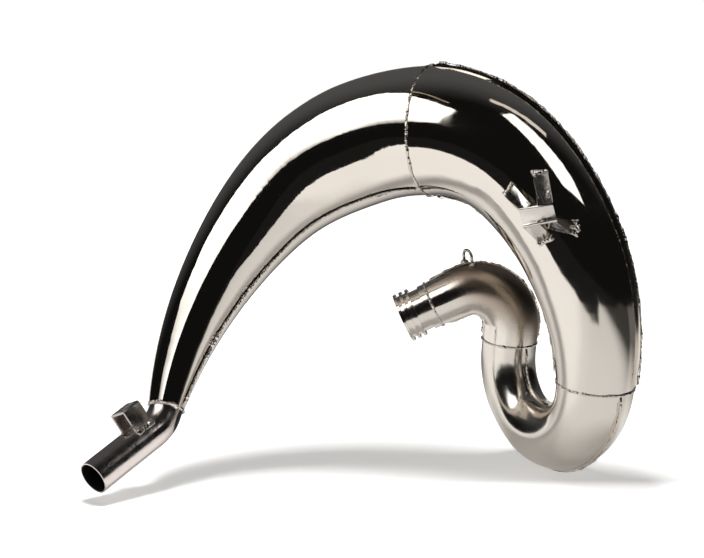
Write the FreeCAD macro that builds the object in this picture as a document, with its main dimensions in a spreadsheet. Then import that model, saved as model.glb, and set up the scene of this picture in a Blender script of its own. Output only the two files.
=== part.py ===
import FreeCAD, Part
import math
import os
import Sketcher
from FreeCAD import Placement, Rotation, Vector

# Front exhaust pipe of a two-stroke motocross bike: a nickel plated expansion chamber.
# It is welded from a turned spigot, four pairs of pressed half shells and a bent tail tube,
# with a folded bracket on the tail tube, a four-legged bracket on the belly and a wire spring hook.
# Frame: millimetres, +Z up, +X to the right, +Y away from the viewer; origin at the spigot's mouth.

# Driving sizes: name, value, what it is. Lengths in mm, angles in degrees.
SIZES = [
    ("spigot_pitch_angle", 25.3, "rise of the spigot's axis above the horizontal"),
    ("spigot_yaw_angle", -1.6, "turn of the spigot's axis away from the viewer"),
    ("spigot_length", 32.0, "mouth to the first girth weld"),
    ("spigot_bore", 37.5, "gas passage through the spigot"),
    ("rib_dia", 48.5, "over the three sealing ribs"),
    ("rib_width", 2.6, "axial width of one rib"),
    ("groove_width", 3.5, "axial width of one seal groove"),
    ("groove_dia", 42.6, "root of the seal grooves"),
    ("neck_dia", 40.8, "plain neck behind the ribs"),
    ("collar_dia", 44.2, "collar that the header is welded to"),
    ("collar_width", 7.5, "axial width of the collar"),
    ("wall", 1.2, "sheet thickness of the pressings"),
    ("header_start_dia", 43.8, "header over the sheet at the spigot"),
    ("header_mid_dia", 51.0, "header over the sheet half way round its elbow"),
    ("header_end_dia", 52.3, "header and U bend over the sheet at their weld"),
    ("header_lead", 28.5, "straight run before the elbow"),
    ("header_radius", 34.6, "centre-line radius of the elbow"),
    ("header_angle", 119.2, "turn of the elbow"),
    ("header_roll_angle", 6.8, "roll of the elbow's plane from the vertical"),
    ("header_tail", 15.0, "straight run after the elbow"),
    ("ubend_lead", 10.3, "straight run before the U bend"),
    ("ubend_radius", 63.8, "centre-line radius of the U bend"),
    ("ubend_angle", 180.7, "turn of the U bend"),
    ("ubend_roll_angle", -122.4, "roll of the U bend's plane from the elbow's"),
    ("ubend_tail", 4.0, "straight run after the U bend"),
    ("ubend_third_dia", 52.5, "U bend a third of the way round"),
    ("ubend_two_thirds_dia", 64.0, "U bend two thirds of the way round"),
    ("ubend_end_dia", 71.6, "U bend and belly at their weld"),
    ("belly_first_radius", 240.6, "centre-line radius of the belly's rising part"),
    ("belly_first_angle", 50.2, "turn of the rising part"),
    ("belly_second_radius", 120.2, "centre-line radius of the belly's shoulder"),
    ("belly_second_angle", 46.9, "turn of the shoulder"),
    ("belly_roll_angle", 30.6, "roll of the belly's plane from the U bend's"),
    ("belly_third_dia", 92.5, "belly a third of the way along"),
    ("belly_two_thirds_dia", 106.9, "belly two thirds of the way along"),
    ("belly_end_dia", 120.2, "belly and rear cone at their weld, the widest place"),
    ("cone_first_radius", 178.0, "centre-line radius of the cone's first part"),
    ("cone_first_angle", 60.2, "turn of the first part"),
    ("cone_second_radius", 378.6, "centre-line radius of the cone's second part"),
    ("cone_second_angle", 31.4, "turn of the second part"),
    ("cone_roll_angle", 35.8, "roll of the cone's plane from the belly's"),
    ("cone_quarter_dia", 116.3, "cone a quarter of the way along"),
    ("cone_half_dia", 89.0, "cone half way along"),
    ("cone_three_quarters_dia", 62.0, "cone three quarters of the way along"),
    ("tail_dia", 31.3, "tail tube over its outside"),
    ("tail_wall", 1.6, "tail tube's wall"),
    ("tail_plug", 6.0, "how far the tail tube enters the cone"),
    ("tail_fit", 0.2, "clearance round the tail tube in the cone"),
    ("tail_lead", 2.8, "straight run of the tail tube before its bend"),
    ("tail_radius", 40.3, "centre-line radius of the tail tube's bend"),
    ("tail_angle", 37.7, "turn of the tail tube's bend"),
    ("tail_roll_angle", 120.3, "roll of the tail bend from the cone's plane"),
    ("tail_straight", 75.5, "straight run to the open end"),
    ("header_lip", 0.9, "width of the header's seam flange"),
    ("ubend_lip", 1.4, "width of the U bend's seam flange"),
    ("belly_lip", 2.8, "width of the belly's seam flange"),
    ("cone_lip", 1.0, "width of the cone's seam flange"),
    ("lip_end", 0.15, "width that a flange runs out to at a girth weld"),
    ("lip_runout", 4.0, "length over which a flange runs out"),
    ("lip_settle", 3.0, "first length of a flange at its full width"),
    ("lip_land", 1.0, "length of narrow flange beside a girth weld"),
    ("parting_gap", 0.1, "gap between two half shells at their flanges"),
    ("butt_gap", 0.1, "gap between two pressings at a girth weld"),
    ("seam_bead", 1.1, "radius of the edge weld along a flange"),
    ("girth_bead_width", 2.6, "width of a girth weld"),
    ("girth_bead_height", 0.7, "height of a girth weld"),
    ("tail_bead_height", 1.9, "height of the weld between the cone and the tail tube"),
    ("fillet_leg", 3.0, "leg of the fillet welds at the brackets"),
    ("collar_leg", 1.8, "leg of the weld collars at the spring hook"),
    ("foot_bead", 1.6, "radius of the weld at a foot of the belly bracket"),
    ("bead_seat", 0.1, "clearance of a weld from a turned or flat face"),
    ("seam_seat", 0.25, "clearance of a weld from a pressed edge"),
    ("hook_wire", 2.4, "wire of the spring hook"),
    ("hook_width", 12.6, "centre to centre of the hook's legs"),
    ("hook_rise", 15.0, "top of the hook's wire above the header"),
    ("hook_place", 39.5, "along the header from its first weld"),
    ("hook_turn_angle", 32.0, "turn of the hook's plane from square to the header"),
    ("strap_sheet", 2.5, "sheet of the tail bracket"),
    ("strap_width", 24.6, "tail bracket over its two side plates"),
    ("strap_length", 19.8, "tail bracket along the tube"),
    ("strap_rise", 17.5, "tail bracket's top above the tube"),
    ("strap_roll_angle", 21.4, "turn of the tail bracket round the tube towards the viewer"),
    ("strap_place", 0.5, "from the end of the tail bend to the bracket"),
    ("strap_bend", 3.0, "outside radius of the tail bracket's folds"),
    ("strap_hole", 6.5, "hole in the tail bracket's top"),
    ("spider_sheet", 2.5, "sheet of the belly bracket"),
    ("spider_place", 168.0, "along the belly to the middle of the bracket"),
    ("spider_swing_angle", -11.0, "turn round the belly from its near side to the inside of the bend"),
    ("spider_turn_angle", 12.0, "turn of the bracket in the pad's own plane, to the left"),
    ("spider_rise", 14.0, "face of the bracket's pad above the belly"),
    ("pad_height", 14.0, "pad from its upper to its lower fold"),
    ("pad_width", 31.0, "pad along its folds"),
    ("fold_dia", 3.8, "thickness of the rolled folds above and below the pad"),
    ("leg_width", 13.5, "width of one leg"),
    ("leg_seat", 0.2, "clearance under a leg's foot"),
    ("upper_left_over", -24.0, "upper left foot to the right of the pad's middle"),
    ("upper_left_up", 25.0, "upper left foot above the pad's middle"),
    ("upper_right_over", 11.0, "upper right foot to the right of the pad's middle"),
    ("upper_right_up", 37.0, "upper right foot above the pad's middle"),
    ("lower_left_over", -4.0, "lower left foot to the right of the pad's middle"),
    ("lower_left_up", -22.0, "lower left foot above the pad's middle"),
    ("lower_right_over", 33.0, "lower right foot to the right of the pad's middle"),
    ("lower_right_up", -16.0, "lower right foot above the pad's middle"),
]


def cells_of(sizes):
    """Fills the spreadsheet and gives the values back by name."""
    for row, (name, value, note) in enumerate(sizes, start=1):
        sheet.set("A%d" % row, note)
        sheet.set("B%d" % row, str(value))
        sheet.setAlias("B%d" % row, name)
    return {name: value for name, value, note in sizes}


def cell(name):
    return "Sizes." + name


doc = FreeCAD.newDocument("front_exhaust_pipe")
sheet = doc.addObject("Spreadsheet::Sheet", "Sizes")
V = cells_of(SIZES)
doc.recompute()
NODES = []


class Run:
    """A plane run of the pipe's centre line: straights and arcs that bend to one side."""

    def __init__(self, start, along, inward, pieces):
        # start point, direction of flow, direction towards the inside of the bend
        self.pieces = []
        self.length = 0.0
        for radius, amount in pieces:
            # radius None is a straight of that length, else an arc of that many degrees
            span = amount if radius is None else radius * math.radians(amount)
            self.pieces.append((self.length, span, radius, start, along, inward))
            self.length += span
            start, along, inward = self._step(start, along, inward, radius, span)
        self.end = (start, along, inward)

    @staticmethod
    def _step(point, along, inward, radius, span):
        if radius is None:
            return point + along * span, along, inward
        turn = span / radius
        across = math.sin(turn)
        down = math.cos(turn)
        point = point + along * (radius * across) + inward * (radius * (1.0 - down))
        return point, along * down + inward * across, inward * down - along * across

    def at(self, place):
        """Point, direction and inward normal at a distance along the run."""
        chosen = self.pieces[0]
        for piece in self.pieces:
            if place >= piece[0] - 1e-6:
                chosen = piece
        begin, span, radius, point, along, inward = chosen
        return self._step(point, along, inward, radius, place - begin)


def turned(vector, axis, degrees):
    return Rotation(axis, degrees).multVec(vector)


def frame(point, x_axis, z_axis):
    """Placement whose X and Z axes have these directions."""
    return Placement(point, Rotation(x_axis, z_axis.cross(x_axis), z_axis, "ZXY"))


# The centre line, run by run: each run's plane is rolled about the direction of flow.
pitch = math.radians(V["spigot_pitch_angle"])
yaw = math.radians(V["spigot_yaw_angle"])
flow = Vector(math.cos(pitch) * math.cos(yaw), math.cos(pitch) * math.sin(yaw), math.sin(pitch))
level = flow.cross(Vector(0, 0, 1)).normalize()
spigot_run = Run(Vector(0, 0, 0), flow, flow.cross(level), [(None, V["spigot_length"])])


def follow(run, roll, pieces):
    point, along, inward = run.end
    return Run(point, along, turned(inward, along, V[roll]), pieces)


header_run = follow(spigot_run, "header_roll_angle", [
    (None, V["header_lead"]),
    (V["header_radius"], V["header_angle"]),
    (None, V["header_tail"]),
])
ubend_run = follow(header_run, "ubend_roll_angle", [
    (None, V["ubend_lead"]),
    (V["ubend_radius"], V["ubend_angle"]),
    (None, V["ubend_tail"]),
])
belly_run = follow(ubend_run, "belly_roll_angle", [
    (V["belly_first_radius"], V["belly_first_angle"]),
    (V["belly_second_radius"], V["belly_second_angle"]),
])
cone_run = follow(belly_run, "cone_roll_angle", [
    (V["cone_first_radius"], V["cone_first_angle"]),
    (V["cone_second_radius"], V["cone_second_angle"]),
])
tail_run = follow(cone_run, "tail_roll_angle", [
    (None, V["tail_lead"]),
    (V["tail_radius"], V["tail_angle"]),
    (None, V["tail_straight"]),
])
CONE_END = "(%s + 2 * %s + 2 * %s)" % (cell("tail_dia"), cell("wall"), cell("tail_fit"))
cone_end_dia = V["tail_dia"] + 2 * V["wall"] + 2 * V["tail_fit"]


class Pressing:
    """Two half shells that meet in the plane of their run."""

    def __init__(self, name, run, widths, lip, steps):
        self.name = name
        self.run = run
        self.widths = widths
        self.lip = lip
        # the flange stays narrow under a girth weld, runs out to its width and settles there
        narrow = [V["butt_gap"] / 2, V["girth_bead_width"] / 2 + V["lip_land"]]
        full = narrow[1] + V["lip_runout"]
        settled = full + V["lip_settle"]
        middle = [settled + (run.length - 2 * settled) * i / steps for i in range(steps + 1)]
        spread = [(settled + middle[1]) / 2, run.length - (settled + middle[1]) / 2]
        self.seam_places = sorted([full, run.length - full] + middle + spread)
        self.narrow_places = narrow + [run.length - place for place in narrow]
        self.places = sorted(self.narrow_places + self.seam_places)

    def share(self, place):
        """The two widths that a place lies between, and how far it is from the first."""
        spans = len(self.widths) - 1
        part = min(max(place / self.run.length, 0.0), 1.0) * spans
        first = min(int(part), spans - 1)
        return first, part - first

    def dia_text(self, place):
        first, part = self.share(place)
        return "(%s * %.6f + %s * %.6f)" % (
            self.widths[first][0], 1 - part, self.widths[first + 1][0], part)

    def dia(self, place):
        first, part = self.share(place)
        return self.widths[first][1] * (1 - part) + self.widths[first + 1][1] * part

    def lip_at(self, place):
        """Alias of the flange's width at a place: it runs out at the two ends."""
        return "lip_end" if place in self.narrow_places else self.lip

    def plane(self, place):
        """Section plane: X to the outside of the bend, Z along the flow."""
        point, along, inward = self.run.at(place)
        return frame(point, inward * -1, along)


def named(*aliases):
    return [(cell(alias), V[alias]) for alias in aliases]


header = Pressing("header", header_run,
                  named("header_start_dia", "header_mid_dia", "header_end_dia"), "header_lip", 12)
ubend = Pressing("ubend", ubend_run,
                 named("header_end_dia", "ubend_third_dia", "ubend_two_thirds_dia", "ubend_end_dia"),
                 "ubend_lip", 12)
belly = Pressing("belly", belly_run,
                 named("ubend_end_dia", "belly_third_dia", "belly_two_thirds_dia", "belly_end_dia"),
                 "belly_lip", 9)
cone = Pressing("cone", cone_run,
                named("belly_end_dia", "cone_quarter_dia", "cone_half_dia",
                      "cone_three_quarters_dia") + [(CONE_END, cone_end_dia)],
                "cone_lip", 10)


def keep(thing, label):
    thing.Label = label
    NODES.append(thing)
    return thing


def sketch_in(body, name, placement):
    sketch = body.newObject("Sketcher::SketchObject", name)
    sketch.Placement = placement
    return sketch


def bind(sketch, constraint, text):
    """Adds a dimension and ties it to the sheet."""
    index = sketch.addConstraint(constraint)
    sketch.setExpression("Constraints[%d]" % index, text)


def line(start, end):
    return Part.LineSegment(Vector(start[0], start[1], 0), Vector(end[0], end[1], 0))


def chain(sketch, count):
    """Joins the sketch's edges end to start, all the way round."""
    for edge in range(count):
        sketch.addConstraint(Sketcher.Constraint("Coincident", edge, 2, (edge + 1) % count, 1))


def arc(radius, begin, end):
    circle = Part.Circle(Vector(0, 0, 0), Vector(0, 0, 1), radius)
    return Part.ArcOfCircle(circle, begin, end)


def hat_section(body, name, pressing, place, side):
    """Half of a round section with a flange at each edge, on one side of the parting plane."""
    outer = pressing.dia(place) / 2
    inner = outer - V["wall"]
    low = V["parting_gap"] / 2
    high = low + V["wall"]
    lip_name = pressing.lip_at(place)
    edge = outer + V[lip_name]
    sketch = sketch_in(body, name, pressing.plane(place))
    inner_x = math.sqrt(inner ** 2 - low ** 2)
    outer_x = math.sqrt(outer ** 2 - high ** 2)
    inner_begin = math.asin(low / inner)
    outer_begin = math.asin(high / outer)
    if side > 0:
        inside = arc(inner, inner_begin, math.pi - inner_begin)
        outside = arc(outer, outer_begin, math.pi - outer_begin)
    else:
        inside = arc(inner, math.pi + inner_begin, -inner_begin)
        outside = arc(outer, math.pi + outer_begin, -outer_begin)
    low, high = side * low, side * high
    sketch.addGeometry([
        line((-edge, low), (-inner_x, low)),
        inside,
        line((inner_x, low), (edge, low)),
        line((edge, low), (edge, high)),
        line((edge, high), (outer_x, high)),
        outside,
        line((-outer_x, high), (-edge, high)),
        line((-edge, high), (-edge, low)),
    ], False)
    fix = Sketcher.Constraint
    # the arcs run anticlockwise, so their ends swap on the lower half
    left, right = (2, 1) if side > 0 else (1, 2)
    joins = [(0, 2, 1, left), (1, right, 2, 1), (2, 2, 3, 1), (3, 2, 4, 1),
             (4, 2, 5, right), (5, left, 6, 1), (6, 2, 7, 1), (7, 2, 0, 1)]
    sketch.addConstraint([fix("Coincident", *join) for join in joins])
    sketch.addConstraint([fix("Coincident", arc_id, 3, -1, 1) for arc_id in (1, 5)])
    sketch.addConstraint([fix("Horizontal", edge_id) for edge_id in (0, 2, 4, 6)])
    sketch.addConstraint([fix("Vertical", edge_id) for edge_id in (3, 7)])
    dia = pressing.dia_text(place)
    bind(sketch, fix("Radius", 5, outer), "%s / 2" % dia)
    bind(sketch, fix("Radius", 1, inner), "%s / 2 - %s" % (dia, cell("wall")))
    reach = "%s / 2 + %s" % (dia, cell(lip_name))
    bind(sketch, fix("DistanceX", -1, 1, 3, 1, edge), reach)
    bind(sketch, fix("DistanceX", 7, 1, -1, 1, edge), reach)
    half_gap = "%s / 2" % cell("parting_gap")
    top = "%s / 2 + %s" % (cell("parting_gap"), cell("wall"))
    for edge_id, low_end, high_end in ((3, 1, 2), (7, 2, 1)):
        if side > 0:
            bind(sketch, fix("DistanceY", -1, 1, edge_id, low_end, abs(low)), half_gap)
            bind(sketch, fix("DistanceY", -1, 1, edge_id, high_end, abs(high)), top)
        else:
            bind(sketch, fix("DistanceY", edge_id, low_end, -1, 1, abs(low)), half_gap)
            bind(sketch, fix("DistanceY", edge_id, high_end, -1, 1, abs(high)), top)
    return sketch


def half_shell(pressing, side, label):
    body = doc.addObject("PartDesign::Body", label)
    sections = [hat_section(body, "%s_at_%d" % (label, i), pressing, place, side)
                for i, place in enumerate(pressing.places)]
    loft = body.newObject("PartDesign::AdditiveLoft", label + "_loft")
    loft.Profile = sections[0]
    loft.Sections = sections[1:]
    return keep(body, label)


def bead_section(body, name, pressing, place, way):
    """D-shaped section of an edge weld, flat on the two flanges' edges."""
    foot = pressing.dia(place) / 2 + V[pressing.lip] + V["seam_seat"]
    radius = V["seam_bead"]
    sketch = sketch_in(body, name, pressing.plane(place))
    circle = Part.Circle(Vector(way * foot, 0, 0), Vector(0, 0, 1), radius)
    begin = -math.pi / 2 if way > 0 else math.pi / 2
    sketch.addGeometry([
        Part.ArcOfCircle(circle, begin, begin + math.pi),
        line((way * foot, way * radius), (way * foot, -way * radius)),
    ], False)
    fix = Sketcher.Constraint
    chain(sketch, 2)
    sketch.addConstraint([fix("Vertical", 1), fix("PointOnObject", 0, 3, -1),
                          fix("PointOnObject", 0, 3, 1)])
    bind(sketch, fix("Radius", 0, radius), cell("seam_bead"))
    reach = "%s / 2 + %s + %s" % (pressing.dia_text(place), cell(pressing.lip), cell("seam_seat"))
    if way > 0:
        bind(sketch, fix("DistanceX", -1, 1, 0, 3, foot), reach)
    else:
        bind(sketch, fix("DistanceX", 0, 3, -1, 1, foot), reach)
    return sketch


def seam_weld(pressing, way, label):
    """Edge weld along the outside (way 1) or the inside (way -1) of a pressing's bend."""
    body = doc.addObject("PartDesign::Body", label)
    sections = [bead_section(body, "%s_at_%d" % (label, i), pressing, place, way)
                for i, place in enumerate(pressing.seam_places)]
    loft = body.newObject("PartDesign::AdditiveLoft", label + "_loft")
    loft.Profile = sections[0]
    loft.Sections = sections[1:]
    return keep(body, label)


def girth_weld(label, joint, foot_text, foot, height):
    """Ring of weld round a joint, a low arch in section that stands on a round foot."""
    point, along, inward = joint
    body = doc.addObject("PartDesign::Body", label)
    sketch = sketch_in(body, label + "_section", Placement())
    half = V["girth_bead_width"] / 2
    top = foot + V[height]
    sketch.addGeometry([
        line((foot, -half), (top, -half / 2)),
        line((top, -half / 2), (top, half / 2)),
        line((top, half / 2), (foot, half)),
        line((foot, half), (foot, -half)),
    ], False)
    fix = Sketcher.Constraint
    chain(sketch, 4)
    sketch.addConstraint([fix("Symmetric", 3, 1, 3, 2, -1), fix("Symmetric", 1, 1, 1, 2, -1)])
    bind(sketch, fix("DistanceX", -1, 1, 3, 1, foot), foot_text)
    bind(sketch, fix("DistanceX", 0, 1, 0, 2, V[height]), cell(height))
    bind(sketch, fix("DistanceY", 3, 2, 3, 1, 2 * half), cell("girth_bead_width"))
    bind(sketch, fix("DistanceY", 1, 1, 1, 2, half), cell("girth_bead_width") + " / 2")
    ring = body.newObject("PartDesign::Revolution", label + "_ring")
    ring.Profile = sketch
    ring.ReferenceAxis = (sketch, ["V_Axis"])
    ring.Angle = 360.0
    # the sketch's upright is the ring's axis, so the body's Y lies along the flow
    body.Placement = Placement(point, Rotation(inward, along, inward.cross(along), "YXZ"))
    return keep(body, label)


def butt_weld(label, joint, *dias):
    """Girth weld over the wider of the two edges that meet at a joint."""
    over = "%s + %s" % (cell("lip_end"), cell("seam_seat"))
    text = "max(%s) / 2 + %s" % ("; ".join(cell(name) for name in dias), over)
    foot = max(V[name] for name in dias) / 2 + V["lip_end"] + V["seam_seat"]
    return girth_weld(label, joint, text, foot, "girth_bead_height")


def lathe_profile(points):
    return [line(points[i], points[(i + 1) % len(points)]) for i in range(len(points))]


def spigot():
    """Turned spigot: three ribs with two seal grooves, a neck and a collar."""
    body = doc.addObject("PartDesign::Body", "spigot")
    sketch = sketch_in(body, "spigot_section", Placement())
    bore = V["spigot_bore"] / 2
    rib, groove = V["rib_dia"] / 2, V["groove_dia"] / 2
    neck, collar = V["neck_dia"] / 2, V["collar_dia"] / 2
    # distances along the axis, each as its value and its expression
    steps = [("rib_width", rib), ("groove_width", groove), ("rib_width", rib),
             ("groove_width", groove), ("rib_width", rib)]
    points = [(bore, 0.0)]
    along = 0.0
    for width, radius in steps:
        points.append((radius, along))
        along += V[width]
        points.append((radius, along))
    end = V["spigot_length"] - V["butt_gap"] / 2
    collar_start = V["spigot_length"] - V["collar_width"]
    points += [(neck, along), (neck, collar_start), (collar, collar_start), (collar, end), (bore, end)]
    sketch.addGeometry(lathe_profile(points), False)
    fix = Sketcher.Constraint
    count = len(points)
    chain(sketch, count)
    for edge in range(count):
        kind = "Horizontal" if edge % 2 == 0 else "Vertical"
        sketch.addConstraint(fix(kind, edge))
    sketch.addConstraint(fix("PointOnObject", 0, 1, -1))
    bind(sketch, fix("DistanceX", -1, 1, 0, 1, bore), cell("spigot_bore") + " / 2")
    radii = ["rib_dia", "groove_dia", "rib_dia", "groove_dia", "rib_dia", "neck_dia", "collar_dia"]
    for index, name in enumerate(radii):
        edge = 1 + 2 * index
        bind(sketch, fix("DistanceX", -1, 1, edge, 1, V[name] / 2), cell(name) + " / 2")
    for index, (width, radius) in enumerate(steps):
        edge = 1 + 2 * index
        bind(sketch, fix("DistanceY", edge, 1, edge, 2, V[width]), cell(width))
    bind(sketch, fix("DistanceY", -1, 1, 11, 2, collar_start),
         "%s - %s" % (cell("spigot_length"), cell("collar_width")))
    bind(sketch, fix("DistanceY", -1, 1, 13, 2, end),
         "%s - %s / 2" % (cell("spigot_length"), cell("butt_gap")))
    turning = body.newObject("PartDesign::Revolution", "spigot_turning")
    turning.Profile = sketch
    turning.ReferenceAxis = (sketch, ["V_Axis"])
    turning.Angle = 360.0
    point, direction, inward = spigot_run.at(0.0)
    body.Placement = Placement(point, Rotation(inward, direction, inward.cross(direction), "YXZ"))
    return keep(body, "spigot")


def tail_tube():
    """Bent tail tube, plugged into the end of the cone."""
    body = doc.addObject("PartDesign::Body", "tail_tube")
    point, along, inward = tail_run.at(0.0)
    back = point - along * V["tail_plug"]
    path = sketch_in(body, "tail_path", frame(back, along, along.cross(inward)))
    radius = V["tail_radius"]
    turn = math.radians(V["tail_angle"])
    plug = V["tail_plug"] + V["tail_lead"]
    centre = Vector(plug, radius, 0)
    bend_end = (plug + radius * math.sin(turn), radius * (1 - math.cos(turn)))
    far = (bend_end[0] + V["tail_straight"] * math.cos(turn),
           bend_end[1] + V["tail_straight"] * math.sin(turn))
    bend = Part.ArcOfCircle(Part.Circle(centre, Vector(0, 0, 1), radius), -math.pi / 2, turn - math.pi / 2)
    path.addGeometry([line((0, 0), (plug, 0)), bend, line(bend_end, far)], False)
    fix = Sketcher.Constraint
    path.addConstraint([
        fix("Coincident", 0, 1, -1, 1), fix("Horizontal", 0),
        fix("Tangent", 0, 2, 1, 1), fix("Tangent", 1, 2, 2, 1),
    ])
    bind(path, fix("DistanceX", 0, 1, 0, 2, plug), "%s + %s" % (cell("tail_plug"), cell("tail_lead")))
    bind(path, fix("Radius", 1, radius), cell("tail_radius"))
    bind(path, fix("Angle", 0, 1, 2, 1, turn), cell("tail_angle") + " * 1 deg")
    bind(path, fix("Distance", 2, 1, 2, 2, V["tail_straight"]), cell("tail_straight"))
    ring = sketch_in(body, "tail_ring", frame(back, inward, along))
    outer, inner = V["tail_dia"] / 2, V["tail_dia"] / 2 - V["tail_wall"]
    for index, (size, text) in enumerate((
            (outer, cell("tail_dia") + " / 2"),
            (inner, "%s / 2 - %s" % (cell("tail_dia"), cell("tail_wall"))))):
        ring.addGeometry(Part.Circle(Vector(0, 0, 0), Vector(0, 0, 1), size), False)
        ring.addConstraint(fix("Coincident", index, 3, -1, 1))
        bind(ring, fix("Radius", index, size), text)
    pipe = body.newObject("PartDesign::AdditivePipe", "tail_sweep")
    pipe.Profile = ring
    pipe.Spine = (path, ["Edge1", "Edge2", "Edge3"])
    return keep(body, "tail_tube")


def near_side(pressing, place):
    """Which half of a pressing faces the viewer at a place: 1 or -1 along the section's Y."""
    return 1 if pressing.plane(place).Rotation.multVec(Vector(0, 1, 0)).y < 0 else -1


def prism(label, placement, points, length, depth_text):
    """Closed outline of (x, x text, y, y text) corners, padded along Z."""
    body = doc.addObject("PartDesign::Body", label)
    sketch = sketch_in(body, label + "_outline", Placement())
    sketch.addGeometry(lathe_profile([(x, y) for x, x_text, y, y_text in points]), False)
    chain(sketch, len(points))
    fix = Sketcher.Constraint
    for edge, (x, x_text, y, y_text) in enumerate(points):
        for kind, value, text in (("DistanceX", x, x_text), ("DistanceY", y, y_text)):
            if value < 0:
                bind(sketch, fix(kind, edge, 1, -1, 1, -value), "-(%s)" % text)
            else:
                bind(sketch, fix(kind, -1, 1, edge, 1, value), text)
    pad = body.newObject("PartDesign::Pad", label + "_pad")
    pad.Profile = sketch
    pad.Length = length
    pad.setExpression("Length", depth_text)
    body.Placement = placement
    return body


def strap_frame():
    """At the tail bracket: X across the tube to its far side, Y away from the tube, Z up the tube."""
    place = V["tail_lead"] + tail_run.pieces[1][1] + V["strap_place"] + V["strap_length"]
    point, along, inward = tail_run.at(place)
    upright = Vector(0, 0, 1)
    out = (upright - along * upright.dot(along)).normalize()
    out = turned(out, along, V["strap_roll_angle"])
    back = along * -1
    return Placement(point, Rotation(out.cross(back), out, back, "ZYX"))


def tail_bracket():
    """Folded sheet over the tail tube: a top with a hole and two side plates, open at both ends."""
    placement = strap_frame()
    half, half_text = V["strap_width"] / 2, cell("strap_width") + " / 2"
    skin, skin_text = V["strap_sheet"], cell("strap_sheet")
    top = V["tail_dia"] / 2 + V["strap_rise"]
    top_text = "%s / 2 + %s" % (cell("tail_dia"), cell("strap_rise"))
    within, within_text = half - skin, "%s - %s" % (half_text, skin_text)
    under, under_text = top - skin, "%s - %s" % (top_text, skin_text)
    body = prism("tail_bracket", placement, [
        (half, half_text, 0.0, "0"),
        (half, half_text, top, top_text),
        (-half, "-(%s)" % half_text, top, top_text),
        (-half, "-(%s)" % half_text, 0.0, "0"),
        (-within, "-(%s)" % within_text, 0.0, "0"),
        (-within, "-(%s)" % within_text, under, under_text),
        (within, within_text, under, under_text),
        (within, within_text, 0.0, "0"),
    ], V["strap_length"], cell("strap_length"))
    doc.recompute()
    # outer folds are the two long edges at the top's corners
    pad = body.Tip
    folds = ["Edge%d" % (i + 1) for i, edge in enumerate(pad.Shape.Edges)
             if all(abs(abs(v.Point.x) - half) < 1e-4 and abs(v.Point.y - top) < 1e-4 for v in edge.Vertexes)
             and abs(edge.Length - V["strap_length"]) < 1e-4]
    fold = body.newObject("PartDesign::Fillet", "tail_bracket_folds")
    fold.Base = (pad, folds)
    fold.Radius = V["strap_bend"]
    fold.setExpression("Radius", cell("strap_bend"))
    fix = Sketcher.Constraint
    # the side plates are coped to the tube
    cope = sketch_in(body, "tail_bracket_cope_circle", Placement())
    cope.addGeometry(Part.Circle(Vector(0, 0, 0), Vector(0, 0, 1), V["tail_dia"] / 2 + V["bead_seat"]), False)
    cope.addConstraint(fix("Coincident", 0, 3, -1, 1))
    bind(cope, fix("Radius", 0, V["tail_dia"] / 2 + V["bead_seat"]),
         "%s / 2 + %s" % (cell("tail_dia"), cell("bead_seat")))
    notch = body.newObject("PartDesign::Pocket", "tail_bracket_cope")
    notch.Profile = cope
    notch.Type = "ThroughAll"
    notch.Midplane = True
    # hole in the top, half way along
    middle = V["strap_length"] / 2
    hole = sketch_in(body, "tail_bracket_hole_circle",
                     Placement(Vector(0, top, 0), Rotation(Vector(1, 0, 0), -90)))
    hole.addGeometry(Part.Circle(Vector(0, -middle, 0), Vector(0, 0, 1), V["strap_hole"] / 2), False)
    hole.addConstraint(fix("PointOnObject", 0, 3, -2))
    bind(hole, fix("Radius", 0, V["strap_hole"] / 2), cell("strap_hole") + " / 2")
    bind(hole, fix("DistanceY", 0, 3, -1, 1, middle), cell("strap_length") + " / 2")
    drill = body.newObject("PartDesign::Pocket", "tail_bracket_hole")
    drill.Profile = hole
    drill.Type = "ThroughAll"
    drill.Midplane = True
    return keep(body, "tail_bracket")


def tail_bracket_weld(label, way):
    """Fillet weld between a side plate and the tube; way 1 is the far side."""
    ring = "(%s / 2 + %s)" % (cell("tail_dia"), cell("bead_seat"))
    side = "(%s / 2 + %s)" % (cell("strap_width"), cell("bead_seat"))
    round_radius = V["tail_dia"] / 2 + V["bead_seat"]
    x = V["strap_width"] / 2 + V["bead_seat"]
    y = math.sqrt(round_radius ** 2 - x ** 2)
    y_text = "sqrt(%s ^ 2 - %s ^ 2)" % (ring, side)
    leg = cell("fillet_leg")
    # the third corner lies on the tube, a weld leg further round
    turn = math.asin(x / round_radius) + V["fillet_leg"] / round_radius
    turn_text = "(asin(%s / %s) + %s / %s * 1 rad)" % (side, ring, leg, ring)
    sign = "" if way > 0 else "-1 * "
    corners = [
        (way * x, sign + side, y, y_text),
        (way * round_radius * math.sin(turn), "%s%s * sin(%s)" % (sign, ring, turn_text),
         round_radius * math.cos(turn), "%s * cos(%s)" % (ring, turn_text)),
        (way * x, sign + side, y + V["fillet_leg"], "%s + %s" % (y_text, leg)),
    ]
    return keep(prism(label, strap_frame(), corners, V["strap_length"], cell("strap_length")), label)


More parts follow.
